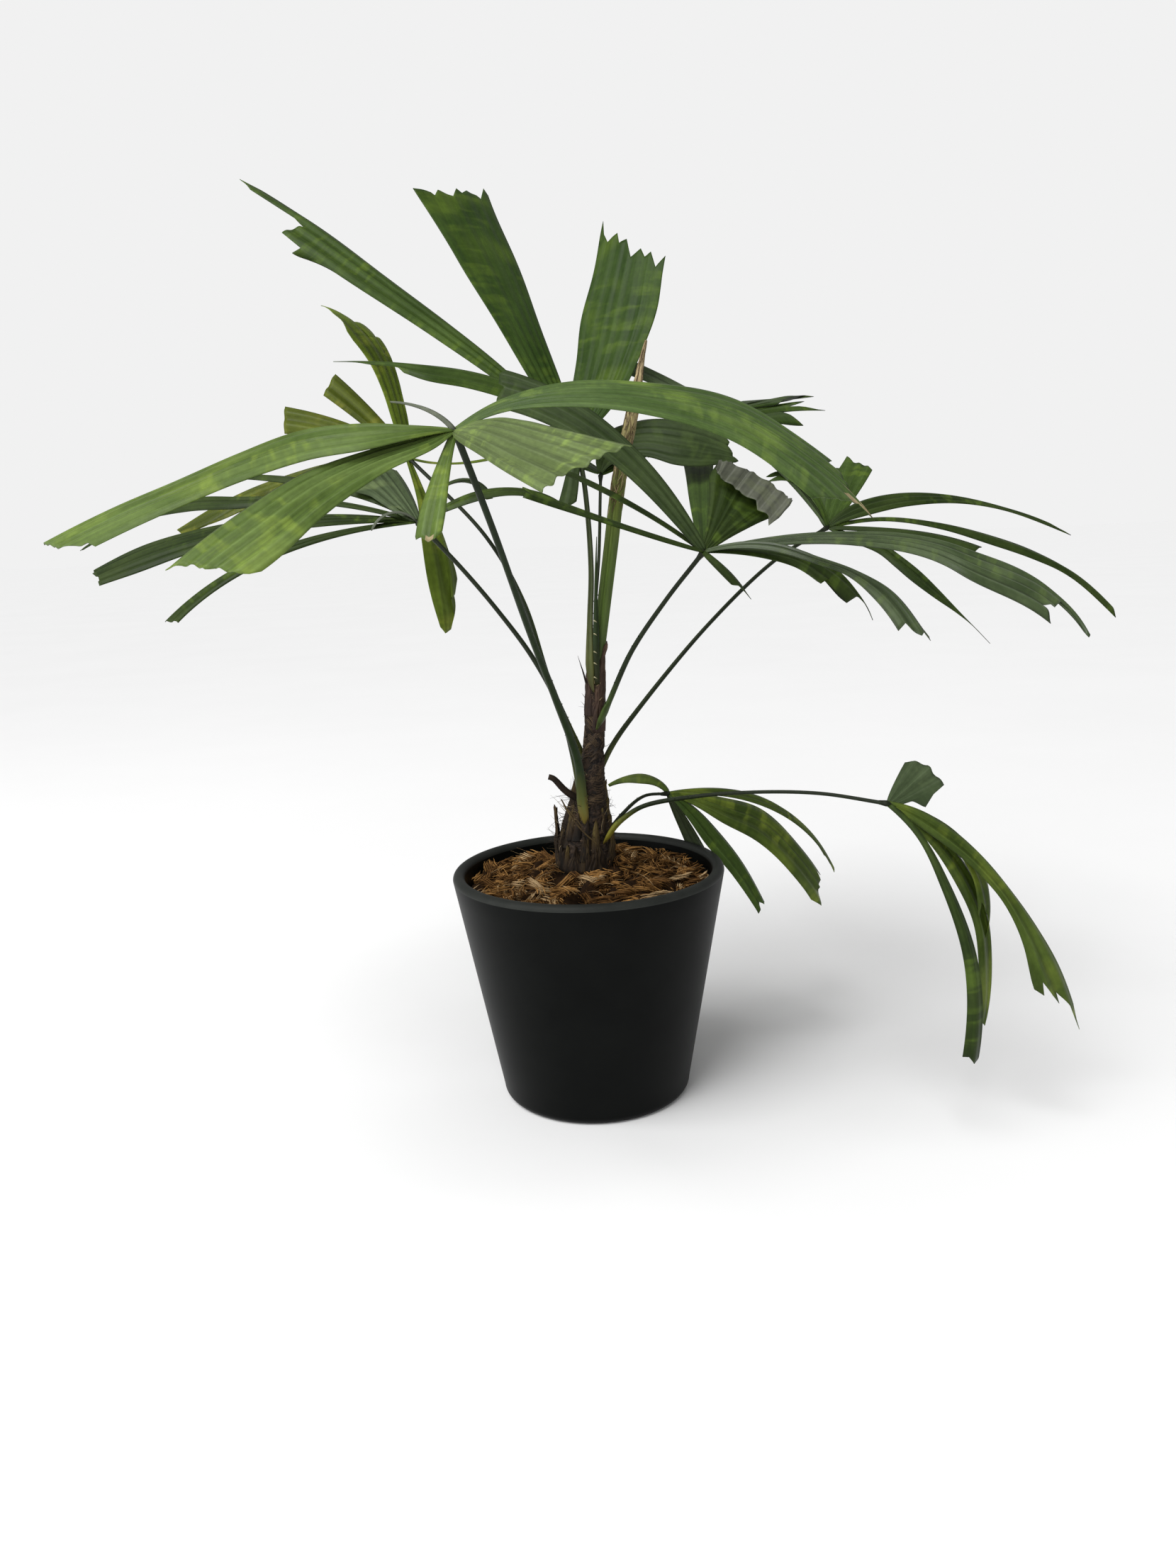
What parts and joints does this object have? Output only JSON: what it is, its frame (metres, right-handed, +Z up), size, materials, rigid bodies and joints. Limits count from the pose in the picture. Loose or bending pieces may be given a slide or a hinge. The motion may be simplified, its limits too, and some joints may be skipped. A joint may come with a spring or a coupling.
{
  "type": "potted mapu licuala palm",
  "caption": "Young mapu licuala fan palm: pleated leaves split into blunt, toothed leaflets on slender arching petioles, on a short fibrous trunk in a tapered black pot of coir.",
  "frame": {"origin": "centre of the pot's flat underside, which stands on the floor", "axes": "+Z up; the picture looks along +Y, so +X is its right-hand side"},
  "size_m": [0.5967, 0.4052, 0.5087],
  "materials": {
    "pot": "satin",
    "coir": "matte, shaggy",
    "bark": "matte, fibrous",
    "petiole": "satin",
    "spear": "satin",
    "blade": "satin, mottled"
  },
  "bodies": {
    "root": {"pot": "pot", "coir_fill": "coir", "trunk": "bark", "spear_leaf": "spear", "petiole_front_left": "petiole", "blade_front_left_1": "blade", "blade_front_left_2": "blade", "petiole_top": "petiole", "blade_top_1": "blade", "blade_top_2": "blade", "petiole_back": "petiole", "blade_back_1": "blade", "petiole_right": "petiole", "blade_right_1": "blade", "blade_right_2": "blade", "petiole_back_right": "petiole", "blade_back_right_1": "blade", "blade_back_right_2": "blade", "petiole_back_left": "petiole", "blade_back_left_1": "blade", "petiole_left": "petiole", "blade_left_1": "blade", "petiole_low_right": "petiole", "blade_low_right_1": "blade", "petiole_low_back": "petiole", "blade_low_back_1": "blade"}
  },
  "joints": []
}
